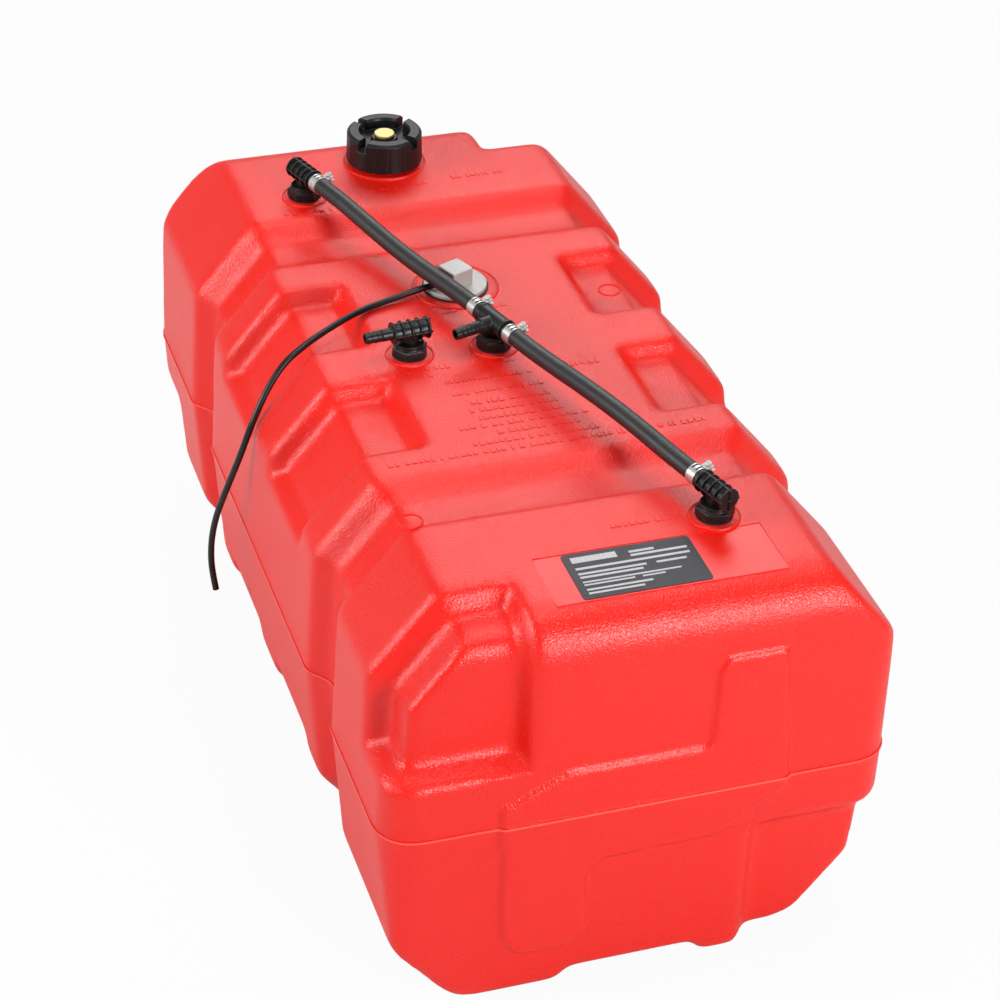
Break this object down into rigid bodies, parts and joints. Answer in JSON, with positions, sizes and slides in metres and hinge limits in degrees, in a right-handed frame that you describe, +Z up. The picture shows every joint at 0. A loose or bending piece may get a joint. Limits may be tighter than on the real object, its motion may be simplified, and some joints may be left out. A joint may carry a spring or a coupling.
{
  "type": "outboard fuel tank",
  "caption": "Long red moulded fuel tank with a screw filler cap, a black vent hose between elbows and a tee, a swivelling fuel outlet and a float level sender.",
  "frame": {"origin": "on the floor under the middle of the tank moulding", "axes": "+X along the tank towards its label end, +Y across it, +Z up from the floor to the filler cap"},
  "size_m": [0.7994, 0.4468, 0.3943],
  "materials": {
    "tank_red": "pebbled moulding",
    "label": "matt",
    "fitting_black": "matt",
    "cap_black": "satin",
    "hose_rubber": "matt",
    "seal_rubber": "matt",
    "zinc_steel": "bright zinc",
    "brass": "turned",
    "alloy": "brushed",
    "cable_black": "semi-gloss"
  },
  "bodies": {
    "tank": {"tank_body": "tank_red", "label_plate": "label", "rear_vent_seal": "seal_rubber", "rear_vent_adapter": "fitting_black", "rear_vent_oring": "seal_rubber", "rear_vent_elbow": "fitting_black", "front_vent_seal": "seal_rubber", "front_vent_adapter": "fitting_black", "front_vent_oring": "seal_rubber", "front_vent_elbow": "fitting_black", "tee_seal": "seal_rubber", "tee_adapter": "fitting_black", "tee_oring": "seal_rubber", "tee_body": "fitting_black", "fuel_seal": "seal_rubber", "fuel_adapter": "fitting_black", "rear_hose": "hose_rubber", "front_hose": "hose_rubber", "rear_vent_clamp": "zinc_steel", "rear_tee_clamp": "zinc_steel", "front_tee_clamp": "zinc_steel", "front_vent_clamp": "zinc_steel", "clamp_screws": "zinc_steel", "clamp_nuts": "zinc_steel", "sender_head": "alloy", "sender_gasket": "seal_rubber", "sender_insert": "fitting_black", "sender_stem": "alloy", "sender_clip": "fitting_black", "pickup_tube": "fitting_black", "pickup_strainer": "alloy", "sender_cable": "cable_black"},
    "neck_seal": {"cap_gasket": "seal_rubber"},
    "cap": {"filler_cap": "cap_black", "cap_liner": "cap_black", "relief_seal": "seal_rubber", "relief_spring": "zinc_steel"},
    "valve": {"relief_valve": "brass"},
    "outlet": {"fuel_elbow": "fitting_black", "fuel_oring": "seal_rubber"},
    "float": {"sender_float": "fitting_black"}
  },
  "joints": [
    {"name": "cap_lift", "type": "slide", "parent": "tank", "child": "neck_seal", "axis": [0, 0, 1], "range_m": [0, 0.01201]},
    {"name": "cap_turn", "type": "hinge", "parent": "neck_seal", "child": "cap", "pos_m": [-0.3257, -0.004, 0.361], "axis": [0, 0, 1], "range_deg": [0, 720]},
    {"name": "relief_lift", "type": "slide", "parent": "cap", "child": "valve", "axis": [0, 0, 1], "range_m": [0, 0.0015], "stiffness_N_per_m": 400, "springref_m": -0.003, "deforming": ["relief_spring"]},
    {"name": "outlet_swivel", "type": "hinge", "parent": "tank", "child": "outlet", "pos_m": [-0.002, -0.0739, 0.3561], "axis": [0, 0, 1], "range_deg": [-120, 120]},
    {"name": "float_travel", "type": "slide", "parent": "tank", "child": "float", "axis": [0, 0, 1], "range_m": [0, 0.262]}
  ],
  "couplings": [
    {"joint": "cap_lift", "follows": "cap_turn", "m_per_rad": 0.00095493}
  ]
}
